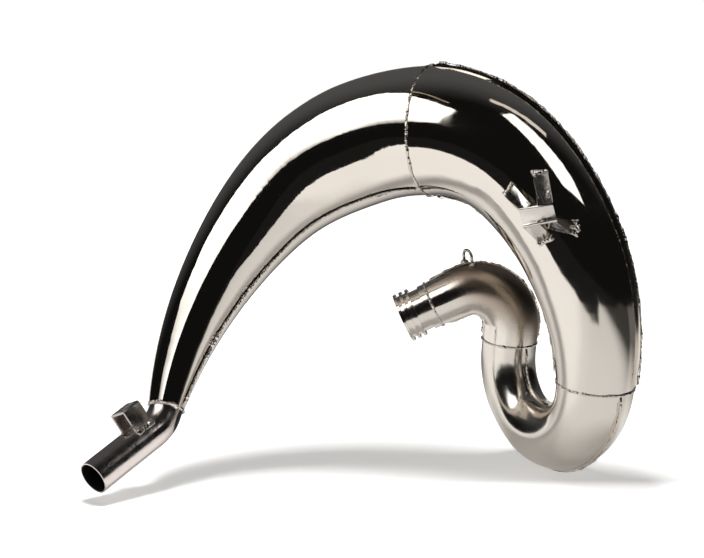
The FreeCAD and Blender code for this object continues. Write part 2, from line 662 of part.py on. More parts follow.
def spring_hook():
    """Bent wire loop that straddles the header's outer seam."""
    body = doc.addObject("PartDesign::Body", "spring_hook")
    point, along, inward = header_run.at(V["hook_place"])
    out = inward * -1
    across = along.cross(out)
    span = turned(across, out, V["hook_turn_angle"])
    wire = V["hook_wire"] / 2
    half = V["hook_width"] / 2
    off = half * math.cos(math.radians(V["hook_turn_angle"])) - wire
    round_radius = header.dia(V["hook_place"]) / 2
    foot = math.sqrt(round_radius ** 2 - off ** 2) + V["leg_seat"]
    crown = round_radius + V["hook_rise"] - wire - half
    path = sketch_in(body, "hook_path", Placement(point, Rotation(span, out, span.cross(out), "XYZ")))
    bow = Part.ArcOfCircle(Part.Circle(Vector(0, crown, 0), Vector(0, 0, 1), half), 0, math.pi)
    path.addGeometry([line((half, foot), (half, crown)), bow, line((-half, crown), (-half, foot))], False)
    fix = Sketcher.Constraint
    path.addConstraint([fix("Tangent", 0, 2, 1, 1), fix("Tangent", 1, 2, 2, 1),
                        fix("Vertical", 0), fix("PointOnObject", 1, 3, -2), fix("Equal", 0, 2)])
    bind(path, fix("Radius", 1, half), cell("hook_width") + " / 2")
    width = header.dia_text(V["hook_place"])
    bind(path, fix("DistanceY", -1, 1, 1, 3, crown), "%s / 2 + %s - (%s + %s) / 2" % (
        width, cell("hook_rise"), cell("hook_wire"), cell("hook_width")))
    off_text = "(%s / 2 * cos(%s * 1 deg) - %s / 2)" % (
        cell("hook_width"), cell("hook_turn_angle"), cell("hook_wire"))
    bind(path, fix("DistanceY", -1, 1, 0, 1, foot), "sqrt((%s / 2) ^ 2 - %s ^ 2) + %s" % (
        width, off_text, cell("leg_seat")))
    start = point + span * half + out * foot
    ring = sketch_in(body, "hook_ring", Placement(start, Rotation(span, out.cross(span), out, "XYZ")))
    ring.addGeometry(Part.Circle(Vector(0, 0, 0), Vector(0, 0, 1), wire), False)
    ring.addConstraint(fix("Coincident", 0, 3, -1, 1))
    bind(ring, fix("Radius", 0, wire), cell("hook_wire") + " / 2")
    pipe = body.newObject("PartDesign::AdditivePipe", "hook_sweep")
    pipe.Profile = ring
    pipe.Spine = (path, ["Edge1", "Edge2", "Edge3"])
    keep(body, "spring_hook")
    # the welds' collars reach nearer to the crown of the header than the legs do
    rest = math.sqrt(round_radius ** 2 - max(off - V["collar_leg"], 0.0) ** 2) + V["seam_seat"]
    for label, way in (("spring_hook_weld_near", 1), ("spring_hook_weld_far", -1)):
        hook_weld(label, point + span * (way * half) + out * rest, span, out)


def hook_weld(label, point, span, out):
    """Collar of weld round a leg of the spring hook."""
    body = doc.addObject("PartDesign::Body", label)
    sketch = sketch_in(body, label + "_section", Placement())
    near = V["hook_wire"] / 2 + V["bead_seat"]
    leg = V["collar_leg"]
    sketch.addGeometry(lathe_profile([(near, 0), (near + leg, 0), (near, leg)]), False)
    chain(sketch, 3)
    fix = Sketcher.Constraint
    sketch.addConstraint([fix("PointOnObject", 0, 1, -1), fix("Horizontal", 0), fix("Vertical", 2)])
    bind(sketch, fix("DistanceX", -1, 1, 0, 1, near), "%s / 2 + %s" % (cell("hook_wire"), cell("bead_seat")))
    bind(sketch, fix("DistanceX", 0, 1, 0, 2, leg), cell("collar_leg"))
    bind(sketch, fix("DistanceY", 2, 2, 2, 1, leg), cell("collar_leg"))
    ring = body.newObject("PartDesign::Revolution", label + "_ring")
    ring.Profile = sketch
    ring.ReferenceAxis = (sketch, ["V_Axis"])
    ring.Angle = 360.0
    body.Placement = Placement(point, Rotation(span, out, span.cross(out), "XYZ"))
    return keep(body, label)


def box(label, placement, length, width, height, texts):
    """Block centred on its placement in X and Y, with its sizes tied to the sheet where they have one."""
    block = doc.addObject("Part::Box", label)
    block.Length, block.Width, block.Height = length, width, height
    for side, text in texts.items():
        block.setExpression(side, text)
    block.Placement = placement.multiply(Placement(Vector(0, -width / 2, -height / 2), Rotation()))
    return block


def rod(label, placement, radius_text, length, radius):
    """Round bar centred on its placement, along Z."""
    bar = doc.addObject("Part::Cylinder", label)
    bar.Radius, bar.Height = radius, length
    bar.setExpression("Radius", radius_text)
    bar.Placement = placement.multiply(Placement(Vector(0, 0, -length / 2), Rotation()))
    return bar


def on_belly(target):
    """Nearest place of the belly's centre line to a point, the way out to it and the belly's radius."""
    low, high = 0.0, belly_run.length
    for turn in range(60):
        first, second = low + (high - low) / 3, high - (high - low) / 3
        if (belly_run.at(first)[0] - target).Length < (belly_run.at(second)[0] - target).Length:
            high = second
        else:
            low = first
    centre = belly_run.at((low + high) / 2)[0]
    return centre, (target - centre).normalize(), belly.dia((low + high) / 2) / 2


def belly_bracket():
    """Folded sheet bridge on the belly: a pad held off the shell by four legs."""
    point, along, inward = belly_run.at(V["spider_place"])
    plane = belly.plane(V["spider_place"])
    near = plane.Rotation.multVec(Vector(0, near_side(belly, V["spider_place"]), 0))
    swing = math.radians(V["spider_swing_angle"])
    out = near * math.cos(swing) + inward * math.sin(swing)
    over = (Vector(1, 0, 0) - out * out.x).normalize()
    up = out.cross(over)
    if up.z < 0:
        up = up * -1
    over, up = turned(over, out, V["spider_turn_angle"]), turned(up, out, V["spider_turn_angle"])
    sheet_text = cell("spider_sheet")
    skin = V["spider_sheet"]
    middle = point + out * (belly.dia(V["spider_place"]) / 2 + V["spider_rise"] - skin / 2)
    height, width = V["pad_height"], V["pad_width"]
    pieces = [box("bracket_pad", Placement(middle - up * (height / 2), Rotation(up, over, up.cross(over), "XYZ")),
                  height, width, skin,
                  {"Length": cell("pad_height"), "Width": cell("pad_width"), "Height": sheet_text})]
    for name, way in (("bracket_upper_fold", 1), ("bracket_lower_fold", -1)):
        at_fold = Placement(middle + up * (way * height / 2), Rotation(up, over.cross(up), over, "ZXY"))
        pieces.append(rod(name, at_fold, cell("fold_dia") + " / 2", width, V["fold_dia"] / 2))
    welds = []
    reach = (width - V["leg_width"]) / 2
    for name, way, side in (("upper_left", 1, -1), ("upper_right", 1, 1),
                            ("lower_left", -1, -1), ("lower_right", -1, 1)):
        start = middle + up * (way * height / 2) + over * (side * reach)
        target = middle + over * V[name + "_over"] + up * V[name + "_up"]
        centre, normal, radius = on_belly(target)
        surface = centre + normal * radius
        run = (surface - start).normalize()
        wide = run.cross(normal).normalize()
        face = wide.cross(run)
        if face.dot(normal) < 0:
            face = face * -1
        lift = abs(face.dot(normal)) * skin / 2 + V["leg_seat"]
        foot = surface + normal * lift
        run = (foot - start).normalize()
        wide = run.cross(normal).normalize()
        face = run.cross(wide)
        length = (foot - start).Length
        pieces.append(box("bracket_leg_" + name, Placement(start, Rotation(run, wide, face, "XYZ")),
                          length, V["leg_width"], skin,
                          {"Width": cell("leg_width"), "Height": sheet_text}))
        # bar of weld in the corner between the leg's outer face and the shell
        bead = V["foot_bead"]
        away = (run - normal * run.dot(normal)).normalize()
        along_run, into = run.dot(away), run.dot(normal)
        lie = bead + V["seam_seat"]
        beside_face = (lie + skin / 2 - (lie - lift) * along_run) / -into
        beyond_end = (lie - (lie - lift) * into) / along_run
        shift = min(beside_face, beyond_end)
        centre, normal, radius = on_belly(surface + away * shift)
        spot = centre + normal * (radius + lie)
        welds.append(keep(rod("belly_bracket_weld_" + name, Placement(spot, Rotation(away, normal, wide, "ZXY")),
                              cell("foot_bead"), V["leg_width"], bead), "belly_bracket_weld_" + name))
    bridge = doc.addObject("Part::MultiFuse", "belly_bracket")
    bridge.Shapes = pieces
    bridge.Refine = True
    return keep(bridge, "belly_bracket")


spigot()
for pressing in (header, ubend, belly, cone):
    facing = near_side(pressing, pressing.run.length / 2)
    half_shell(pressing, facing, pressing.name + "_shell_near")
    half_shell(pressing, -facing, pressing.name + "_shell_far")
    seam_weld(pressing, 1, pressing.name + "_outer_seam_weld")
    seam_weld(pressing, -1, pressing.name + "_inner_seam_weld")
tail_tube()
butt_weld("spigot_girth_weld", header_run.at(0.0), "collar_dia", "header_start_dia")
butt_weld("header_girth_weld", ubend_run.at(0.0), "header_end_dia")
butt_weld("ubend_girth_weld", belly_run.at(0.0), "ubend_end_dia")
butt_weld("belly_girth_weld", cone_run.at(0.0), "belly_end_dia")
girth_weld("tail_girth_weld", tail_run.at(V["girth_bead_width"] / 2 + V["bead_seat"]),
           "%s / 2 + %s" % (cell("tail_dia"), cell("bead_seat")),
           V["tail_dia"] / 2 + V["bead_seat"], "tail_bead_height")
tail_bracket()
tail_bracket_weld("tail_bracket_weld_near", -1)
tail_bracket_weld("tail_bracket_weld_far", 1)
spring_hook()
belly_bracket()

doc.recompute()
broken = [item.Name for item in doc.Objects if "Invalid" in item.State or "Error" in item.State]
if broken:
    raise RuntimeError("failed objects: " + ", ".join(broken))
for item in NODES:
    if item.Shape.isNull() or not item.Shape.isValid() or len(item.Shape.Solids) != 1:
        raise RuntimeError("bad shape: " + item.Label)
os.makedirs("parts", exist_ok=True)
for item in NODES:
    item.Shape.exportStep(os.path.join("parts", item.Label + ".step"))
print(len(NODES), "solids written")
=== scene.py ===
# %% [markdown]
# # A nickel plated exhaust pipe for a two-stroke motocross bike
# The pipe is an expansion chamber: a ribbed spigot pushes into the cylinder, a header elbow and a U bend
# lead into a fat belly, and a long cone narrows to a thin tail tube. It is pressed from sheet in halves,
# welded along the seams and plated with bright nickel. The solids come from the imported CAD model, which is
# the fixed frame here. This lesson gives them their looks: light, mirror metal, and the ripple of the welds.
# All sizes are in metres.

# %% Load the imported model
import math

import bmesh
import bpy
from mathutils import Matrix, Vector, noise


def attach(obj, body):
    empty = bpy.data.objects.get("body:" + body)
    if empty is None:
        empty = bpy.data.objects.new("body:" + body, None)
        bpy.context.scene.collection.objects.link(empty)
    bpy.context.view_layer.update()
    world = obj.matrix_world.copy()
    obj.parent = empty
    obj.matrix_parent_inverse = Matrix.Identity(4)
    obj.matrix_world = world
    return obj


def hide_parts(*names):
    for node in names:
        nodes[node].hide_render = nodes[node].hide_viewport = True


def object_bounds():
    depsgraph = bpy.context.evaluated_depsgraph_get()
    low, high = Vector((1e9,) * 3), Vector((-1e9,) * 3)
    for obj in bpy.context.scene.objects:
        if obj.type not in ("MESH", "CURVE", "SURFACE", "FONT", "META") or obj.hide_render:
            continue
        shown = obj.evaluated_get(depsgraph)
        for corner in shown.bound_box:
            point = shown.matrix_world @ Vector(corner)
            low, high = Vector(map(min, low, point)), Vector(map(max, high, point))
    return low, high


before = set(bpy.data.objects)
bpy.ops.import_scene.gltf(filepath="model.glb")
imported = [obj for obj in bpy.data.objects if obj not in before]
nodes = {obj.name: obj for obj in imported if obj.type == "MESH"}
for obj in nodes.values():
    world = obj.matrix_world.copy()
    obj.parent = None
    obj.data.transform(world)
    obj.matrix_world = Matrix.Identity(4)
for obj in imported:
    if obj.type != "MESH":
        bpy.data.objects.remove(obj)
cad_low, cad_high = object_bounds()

scene = bpy.context.scene
print("CAD nodes:", len(nodes), "box:", [round(x, 4) for x in (*cad_low, *cad_high)])

# %% [markdown]
# ## The camera
# The photograph looks along +Y and nine degrees down, from about two metres away with a long lens.
# A long lens keeps the pipe's near and far parts at nearly the same scale, so a wide one would not match.

# %% Camera at the photograph's viewing angle
LENS_MM, SENSOR_MM = 101.2, 36.0
CAMERA_PLACE = (-0.04896, -1.87075, 0.33420)
DEGREES_DOWN = 9.0
FARTHEST_SEEN = 200.0

camera_data = bpy.data.cameras.new("camera")
camera_data.sensor_fit = "HORIZONTAL"
camera_data.sensor_width = SENSOR_MM
camera_data.lens = LENS_MM
camera_data.clip_end = FARTHEST_SEEN
camera = bpy.data.objects.new("camera", camera_data)
camera.location = CAMERA_PLACE
camera.rotation_euler = (math.radians(90.0 - DEGREES_DOWN), 0.0, 0.0)
scene.collection.objects.link(camera)
scene.camera = camera
scene.view_settings.view_transform = "Standard"
print("camera at", tuple(round(x, 3) for x in camera.location))

# %% [markdown]
# ## Helpers for nodes and for the studio
# A material is a tree of nodes. Building one in code means making nodes, setting their sockets and linking
# them, so a few short helpers keep the materials below readable. The things of the studio are not part of
# the pipe, so helpers of their own make them.


# %% Node helpers
def new_material(name):
    """A material with an empty node tree; gives back the material, its tree and its output node."""
    material = bpy.data.materials.new(name)
    material.use_nodes = True
    tree = material.node_tree
    tree.nodes.clear()
    output = tree.nodes.new("ShaderNodeOutputMaterial")
    return material, tree, output


def opaque(colour):
    """A colour with the fourth number that colour sockets ask for."""
    return (*colour, 1.0)


def add(tree, kind, **inputs):
    """A node with constant values on its own sockets; a socket's name has _ for each space."""
    node = tree.nodes.new(kind)
    for name, value in inputs.items():
        node.inputs[name.replace("_", " ")].default_value = value
    return node


def feed(tree, value, target):
    """Links a socket to the target socket, or sets a constant on it."""
    if isinstance(value, bpy.types.NodeSocket):
        tree.links.new(value, target)
    else:
        target.default_value = value


# %% Node helpers that reckon
MEASURES = ("DOT_PRODUCT", "LENGTH", "DISTANCE")


def combine(tree, operation, first, second):
    """A Math node of two sockets, or of a socket and a number; gives back its output."""
    node = tree.nodes.new("ShaderNodeMath")
    node.operation = operation
    feed(tree, first, node.inputs[0])
    feed(tree, second, node.inputs[1])
    return node.outputs["Value"]


def vector_math(tree, operation, first, second=None):
    """A Vector Math node of a socket and a constant vector; gives back its output."""
    node = tree.nodes.new("ShaderNodeVectorMath")
    node.operation = operation
    feed(tree, first, node.inputs[0])
    if second is not None:
        feed(tree, second, node.inputs[1])
    return node.outputs["Value" if operation in MEASURES else "Vector"]


def ramp(tree, source, low, high, start, end):
    """Maps low..high to start..end with soft ends."""
    node = add(tree, "ShaderNodeMapRange", From_Min=low, From_Max=high, To_Min=start, To_Max=end)
    node.interpolation_type = "SMOOTHSTEP"
    feed(tree, source, node.inputs["Value"])
    return node.outputs["Result"]


# %% Node helpers that say where a point is and what sees it
def object_place(tree):
    """The point's place in Object coordinates."""
    return tree.nodes.new("ShaderNodeTexCoord").outputs["Object"]


def split_axes(tree, place):
    """The X, Y and Z of a place, by name."""
    node = tree.nodes.new("ShaderNodeSeparateXYZ")
    feed(tree, place, node.inputs["Vector"])
    return node.outputs


def seen_directly(tree):
    """1 for rays from the camera, from mirrors and through glass, else 0."""
    path = tree.nodes.new("ShaderNodeLightPath")
    either = combine(tree, "MAXIMUM", path.outputs["Is Camera Ray"], path.outputs["Is Glossy Ray"])
    return combine(tree, "MAXIMUM", either, path.outputs["Is Transmission Ray"])


# %% Stage helpers
def mesh_from(builder, name):
    """Runs a builder on a fresh bmesh and gives back the finished mesh."""
    bm = bmesh.new()
    builder(bm)
    mesh = bpy.data.meshes.new(name)
    bm.to_mesh(mesh)
    bm.free()
    return mesh


def stage_object(name, builder, material):
    """An object of the studio, which is not part of the pipe."""
    thing = bpy.data.objects.new(name, mesh_from(builder, name))
    thing.data.materials.append(material)
    scene.collection.objects.link(thing)
    return thing


# %% [markdown]
# ## Floor and world
# The pipe stands on a white studio table. A matt floor takes the soft shadow. On its own it would render
# grey, so it also glows a little, only for rays from the camera and from mirrors: that lifts it to white
# without adding light to the pipe. The glow grows further out, where the lamps fade, so no horizon shows.
# In front of the belly the glow is strong: there it is painted light that washes out the belly's shadow.

# %% Floor that stays white and keeps the shadow
FLOOR_Z = cad_low.z - 0.0002
TABLE_WHITE, TABLE_GLOW = (0.86, 0.85, 0.84), (1.0, 0.99, 0.975)
NEAR, FAR = 0.25, 1.6
# the front lift is painted light that washes out the belly's shadow on the table
LIFT_NEAR, LIFT_FAR, SHADOW_WASH_LIFT = 0.41, 0.98, 0.90
FRONT_FULL, FRONT_GONE = -0.13, -0.05
RIGHT_GONE, RIGHT_FULL = -0.08, 0.08


def front_right(tree, place):
    """1 on the table in front of the belly and to its right, fading to 0 under the pipe."""
    axes = split_axes(tree, place)
    front = ramp(tree, axes["Y"], FRONT_FULL, FRONT_GONE, 1.0, 0.0)
    right = ramp(tree, axes["X"], RIGHT_GONE, RIGHT_FULL, 0.0, 1.0)
    return combine(tree, "MULTIPLY", front, right)


def table_material():
    """Matt white with a glow that only the camera, mirrors and glass see; in front of the belly the glow is
    painted light over the belly's shadow.
    """
    material, tree, output = new_material("white_table")
    place = object_place(tree)
    around = ramp(tree, vector_math(tree, "LENGTH", place), NEAR, FAR, LIFT_NEAR, LIFT_FAR)
    # painted light: more glow in front of the belly, over its shadow
    painted_front = combine(tree, "MULTIPLY", front_right(tree, place), SHADOW_WASH_LIFT)
    lift = combine(tree, "MAXIMUM", around, painted_front)
    matt = add(tree, "ShaderNodeBsdfDiffuse", Color=opaque(TABLE_WHITE))
    glow = add(tree, "ShaderNodeEmission", Color=opaque(TABLE_GLOW))
    feed(tree, combine(tree, "MULTIPLY", lift, seen_directly(tree)), glow.inputs["Strength"])
    both = tree.nodes.new("ShaderNodeAddShader")
    feed(tree, matt.outputs["BSDF"], both.inputs[0])
    feed(tree, glow.outputs["Emission"], both.inputs[1])
    feed(tree, both.outputs["Shader"], output.inputs["Surface"])
    return material


# %% Lay the floor
FLOOR_HALF = 60.0


def build_floor(bm):
    bmesh.ops.create_grid(bm, x_segments=1, y_segments=1, size=FLOOR_HALF)


floor = stage_object("floor", build_floor, table_material())
floor.location = (0.0, 0.0, FLOOR_Z)
print("floor at", round(FLOOR_Z, 4))

# %% World that is white where it is seen and a faint fill where it lights
WORLD_WHITE, WORLD_FILL = (1.0, 1.0, 1.0), (1.0, 0.985, 0.965)
FILL_STRENGTH = 0.14

world = bpy.data.worlds.new("studio")
world.use_nodes = True
scene.world = world
sky = world.node_tree
sky.nodes.clear()
seen = add(sky, "ShaderNodeBackground", Color=opaque(WORLD_WHITE), Strength=1.0)
fill = add(sky, "ShaderNodeBackground", Color=opaque(WORLD_FILL), Strength=FILL_STRENGTH)
choose = sky.nodes.new("ShaderNodeMixShader")
feed(sky, seen_directly(sky), choose.inputs["Fac"])
feed(sky, fill.outputs["Background"], choose.inputs[1])
feed(sky, seen.outputs["Background"], choose.inputs[2])
feed(sky, choose.outputs["Shader"], sky.nodes.new("ShaderNodeOutputWorld").inputs["Surface"])
print("world fill:", FILL_STRENGTH)

# %% [markdown]
# ## Studio light
# Mirror metal shows the room rather than its own colour. In the photograph a dark room stands in front of
# and above the pipe, charcoal behind it, two soft boxes shine in it, and the white table lies below. Big
# lamps alone would light the floor too and wash the shadow out, so the room and the boxes are panels that
# only mirror rays see.


# %% Glow for mirrors only
def glow_material(name, colour, strength):
    """An even glow; gives back the material."""
    material, tree, output = new_material(name)
    glow = add(tree, "ShaderNodeEmission", Color=opaque(colour), Strength=strength)
    feed(tree, glow.outputs["Emission"], output.inputs["Surface"])
    return material


def glow_strength(material):
    """The strength socket of a glow."""
    glow = next(node for node in material.node_tree.nodes if node.type == "EMISSION")
    return glow.inputs["Strength"]


def mirror_object(name, builder, material):
    """A thing of the studio that only mirror rays see."""
    thing = stage_object(name, builder, material)
    thing.visible_camera = False
    thing.visible_diffuse = False
    thing.visible_shadow = False
    thing.visible_transmission = False
    thing.visible_volume_scatter = False
    return thing


# %% Soft box helpers
FADED_GLOW = 0.02
BOX_WHITE = (1.0, 0.99, 0.97)


def toward(azimuth, elevation):
    """Direction from the pipe: azimuth 0 is towards the camera and 90 to the right."""
    a, e = math.radians(azimuth), math.radians(elevation)
    return Vector((math.sin(a) * math.cos(e), -math.cos(a) * math.cos(e), math.sin(e)))


def fade_below(material, place, dark, full):
    """The panel is dark at one height on it and has its full glow from another."""
    tree, strength = material.node_tree, glow_strength(material)
    up = place.to_3x3().col[1]
    foot = place.translation.dot(up)
    height = vector_math(tree, "DOT_PRODUCT", object_place(tree), up)
    feed(tree, ramp(tree, height, foot + dark, foot + full, FADED_GLOW, strength.default_value), strength)


def soft_box(name, aim, outline, strength, colour=BOX_WHITE, fade=None):
    """A glowing panel that faces a place on the pipe.

    The aim is azimuth, elevation, distance and that place. The outline is across and up the panel.
    """
    azimuth, elevation, distance, seen_from = aim
    way = toward(azimuth, elevation)
    turn = way.to_track_quat("Z", "Y").to_matrix().to_4x4()
    place = Matrix.Translation(seen_from + way * distance) @ turn

    def build(bm):
        rim = [bm.verts.new((across, up, 0.0)) for across, up in outline]
        bmesh.ops.contextual_create(bm, geom=rim)
        bmesh.ops.transform(bm, matrix=place, verts=bm.verts)

    material = glow_material(name, colour, strength)
    if fade:
        fade_below(material, place, *fade)
    return mirror_object(name, build, material)


# %% Soft boxes, a thin strip and a bright backdrop
PIPE_MIDDLE = Vector((0.0, -0.05, 0.06))
BELLY_MIDDLE = Vector((0.12, -0.10, 0.15))
CONE_MIDDLE = Vector((-0.10, -0.08, 0.12))
# azimuth, elevation, distance and the place that is faced
LEFT_AIM = (-60.0, 38.0, 1.3, CONE_MIDDLE)
RIGHT_AIM = (51.0, 48.0, 0.3, BELLY_MIDDLE)
BACK_AIM = (178.0, 4.0, 2.2, PIPE_MIDDLE)
LEFT_OUTLINE = ((-0.46, 0.72), (0.58, 0.50), (0.66, -0.25), (0.25, -0.45), (-0.53, -0.29), (-0.74, -0.14))
LEFT_FADE = (-0.52, -0.12)
RIGHT_OUTLINE = ((-0.077, 0.15), (0.006, 0.15), (0.068, -0.08), (0.04, -0.16), (-0.077, -0.12))
SIDE_OUTLINE = ((-0.009, 0.24), (0.021, 0.256), (0.138, 0.07), (0.098, 0.047))
STRIP_OUTLINE = ((-0.40, 0.87), (0.40, 0.70), (0.40, 0.735), (-0.40, 0.905))
BACK_OUTLINE = ((-0.65, -0.45), (0.65, -0.45), (0.65, 0.45), (-0.65, 0.45))

panels = [
    soft_box("soft_box_left", LEFT_AIM, LEFT_OUTLINE, strength=2.0, fade=LEFT_FADE),
    soft_box("soft_box_right", RIGHT_AIM, RIGHT_OUTLINE, strength=1.5),
    soft_box("soft_box_side", RIGHT_AIM, SIDE_OUTLINE, strength=0.8, colour=(1.0, 0.95, 0.86)),
    soft_box("yellow_strip", LEFT_AIM, STRIP_OUTLINE, strength=0.5, colour=(1.0, 0.83, 0.58)),
    soft_box("bright_backdrop", BACK_AIM, BACK_OUTLINE, strength=0.9),
]
print("panels:", [panel.name for panel in panels])

# %% [markdown]
# ## The dark room
# Above and in front of the pipe the mirrors show near black, and charcoal high up and behind. A half dome
# round the pipe gives that from every side. It is one arc turned round with spin, because a sphere with
# its lower half cut away would take more steps, and its glow follows depth and height.

# %% A half dome, charcoal behind and above
ROOM_RADIUS = 2.6
ARC_STEPS, TURN_STEPS = 14, 48
ROOM_TINT = (0.97, 0.98, 1.0)
ROOM_BLACK, ROOM_CHARCOAL = 0.006, 0.085
CHARCOAL_START, CHARCOAL_FULL = 0.45 * ROOM_RADIUS, 1.25 * ROOM_RADIUS
HEIGHT_SHARE = 0.9


def room_material():
    """Nearly black in front, charcoal behind and above."""
    material = glow_material("dark_room", ROOM_TINT, ROOM_BLACK)
    tree = material.node_tree
    axes = split_axes(tree, object_place(tree))
    back_or_up = combine(tree, "ADD", axes["Y"], combine(tree, "MULTIPLY", axes["Z"], HEIGHT_SHARE))
    charcoal = ramp(tree, back_or_up, CHARCOAL_START, CHARCOAL_FULL, ROOM_BLACK, ROOM_CHARCOAL)
    feed(tree, charcoal, glow_strength(material))
    return material


def build_room(bm):
    """A quarter arc from the floor to the top, turned all the way round."""
    angles = [math.radians(90.0 * i / ARC_STEPS) for i in range(ARC_STEPS + 1)]
    arc = [bm.verts.new((ROOM_RADIUS * math.cos(a), 0.0, ROOM_RADIUS * math.sin(a))) for a in angles]
    edges = [bm.edges.new(pair) for pair in zip(arc, arc[1:])]
    bmesh.ops.spin(bm, geom=arc + edges, cent=(0, 0, 0), axis=(0, 0, 1), angle=math.tau,
                   steps=TURN_STEPS, use_merge=True)
    bmesh.ops.translate(bm, vec=(0.0, 0.0, FLOOR_Z), verts=bm.verts)


room = mirror_object("dark_room", build_room, room_material())
print("room faces:", len(room.data.polygons))

# %% [markdown]
# ## The table's front edge and its dim parts
# The white table ends in front of the pipe. In the cone its edge is a ragged line between white and black,
# so a dark sheet lies on the floor there, with noise along its edge. The table also looks dimmer in the
# mirrors far from the lamps. Dimming the floor itself would spoil its white for the camera, so a thin
# sheet just above it does that as painted shade, partly clear and seen by mirror rays only.

# %% Dark ground in front of the table
GROUND_EDGE = ((-2.4, -0.75), (-1.2, -0.70), (-0.83, -0.66), (-0.48, -0.60), (-0.27, -0.50), (-0.12, -0.56),
               (0.10, -0.57), (0.25, -0.62), (0.45, -0.95), (1.2, -0.95), (2.4, -1.0))
GROUND_Z = FLOOR_Z + 0.001
GROUND_GLOW, GROUND_STRENGTH = (1.0, 0.96, 0.92), 0.012
EDGE_CUTS, RAGGED_DEPTH, RAGGED_SCALE = 80, 0.030, 150.0


def build_ground(bm):
    """A ragged edge pulled forwards to the room's wall."""
    verts = [bm.verts.new((x, y, GROUND_Z)) for x, y in GROUND_EDGE]
    edges = [bm.edges.new(pair) for pair in zip(verts, verts[1:])]
    bmesh.ops.subdivide_edges(bm, edges=edges, cuts=EDGE_CUTS)
    for vert in bm.verts:
        vert.co.y += RAGGED_DEPTH * noise.noise(vert.co * RAGGED_SCALE)
    grown = bmesh.ops.extrude_edge_only(bm, edges=bm.edges[:])
    for thing in grown["geom"]:
        if isinstance(thing, bmesh.types.BMVert):
            thing.co.y = -ROOM_RADIUS


ground_material = glow_material("dark_ground", GROUND_GLOW, GROUND_STRENGTH)
ground = mirror_object("dark_ground", build_ground, ground_material)
print("ground faces:", len(ground.data.polygons))

# %% Sheet that dims the table in the mirrors
DIM_Z = FLOOR_Z + 0.0006
DIM_GLOW, DIM_STRENGTH = (1.0, 0.92, 0.84), 0.05
LIT_PLACE = (0.0, -0.55, FLOOR_Z)
DIM_START, DIM_FULL = 0.48, 1.0
LEFT_CLEAR, LEFT_DIM = -0.45, -0.1
# how much painted shade the veil lays on the table's reflection: far off, everywhere, and to the front right
# over the painted glow
COVER_FAR, COVER_ALL, COVER_FRONT_RIGHT = 0.62, 0.31, 0.29


def dim_material():
    """A dark veil of painted shade on the table's reflection: a little everywhere, more to the front right
    and far off on the right.
    """
    material, tree, output = new_material("dim_table")
    place = object_place(tree)
    far_off = ramp(tree, vector_math(tree, "DISTANCE", place, LIT_PLACE), DIM_START, DIM_FULL, 0.0, COVER_FAR)
    not_left = ramp(tree, split_axes(tree, place)["X"], LEFT_CLEAR, LEFT_DIM, 0.0, 1.0)
    painted_front = combine(tree, "MULTIPLY", front_right(tree, place), COVER_FRONT_RIGHT)
    cover = combine(tree, "ADD", combine(tree, "MULTIPLY", far_off, not_left), COVER_ALL)
    mixed = tree.nodes.new("ShaderNodeMixShader")
    clear = tree.nodes.new("ShaderNodeBsdfTransparent")
    shade = add(tree, "ShaderNodeEmission", Color=opaque(DIM_GLOW), Strength=DIM_STRENGTH)
    feed(tree, combine(tree, "ADD", cover, painted_front), mixed.inputs["Fac"])
    feed(tree, clear.outputs["BSDF"], mixed.inputs[1])
    feed(tree, shade.outputs["Emission"], mixed.inputs[2])
    feed(tree, mixed.outputs["Shader"], output.inputs["Surface"])
    return material


def build_dim_table(bm):
    bmesh.ops.create_grid(bm, x_segments=1, y_segments=1, size=ROOM_RADIUS)
    bmesh.ops.translate(bm, vec=(0.0, 0.0, DIM_Z), verts=bm.verts)


dim_table = mirror_object("dim_table", build_dim_table, dim_material())
print("dim sheet at", round(DIM_Z, 4))

# %% [markdown]
# ## Lamps
# The shadow in the photograph is a thin soft curve close under the pipe, so the main lamp hangs nearly
# overhead. A weak, large one at the side softens the rest. Mirrors don't see them, because the panels
# already stand for the lights there.


# %% Lamps for the matt floor
def area_lamp(name, azimuth, elevation, distance, size, power):
    """A square lamp that faces the pipe."""
    data = bpy.data.lights.new(name, "AREA")
    data.shape = "SQUARE"
    data.size = size
    data.energy = power
    lamp = bpy.data.objects.new(name, data)
    way = toward(azimuth, elevation)
    lamp.location = PIPE_MIDDLE + way * distance
    lamp.rotation_euler = way.to_track_quat("Z", "Y").to_euler()
    lamp.visible_glossy = False
    scene.collection.objects.link(lamp)
    return lamp


lamps = [
    area_lamp("key_lamp", azimuth=-80.0, elevation=82.0, distance=1.8, size=0.5, power=42.0),
    area_lamp("side_lamp", azimuth=-60.0, elevation=50.0, distance=2.0, size=1.4, power=2.0),
]
print("lamps:", [lamp.name for lamp in lamps])

# %% [markdown]
# ## Bright nickel
# Nickel is a warm, slightly yellow mirror. The long cone is polished to a clear mirror, while the header
# and the U bend, which are harder to reach with a buffing wheel, stay softer. The top of the header's elbow
# is painted darker and browner as shade, the belly is hazier towards its foot, and the tail tube's bore is
# painted dark as shade.
# Pressed sheet is never quite flat, so reflections swim a little. All of it comes from noise, height and
# distance on Object coordinates, so it stays on the metal from any side.


# %% Colour and noise helpers
def blend_colour(tree, kind, share, first, second):
    """Mixes a constant colour into a colour socket or another colour; gives back the output."""
    node = tree.nodes.new("ShaderNodeMix")
    node.data_type, node.blend_type = "RGBA", kind
    feed(tree, share, node.inputs["Factor"])
    feed(tree, first, node.inputs["A"])
    feed(tree, opaque(second), node.inputs["B"])
    return node.outputs["Result"]


def noise_on(tree, place, **inputs):
    """A noise texture; gives back its grey value."""
    node = add(tree, "ShaderNodeTexNoise", **inputs)
    feed(tree, place, node.inputs["Vector"])
    return node.outputs["Fac"]


# %% Polish, patch and bore
MARKS_LOW, MARKS_HIGH = 0.3, 0.7
HAZE_START, HAZE_FULL, HAZE_ROUGHER = 0.62, 0.80, 0.12
# painted shade inside the tail tube's bore
BORE_SHADE, BORE_ROUGHER = (0.035, 0.033, 0.031), 0.4


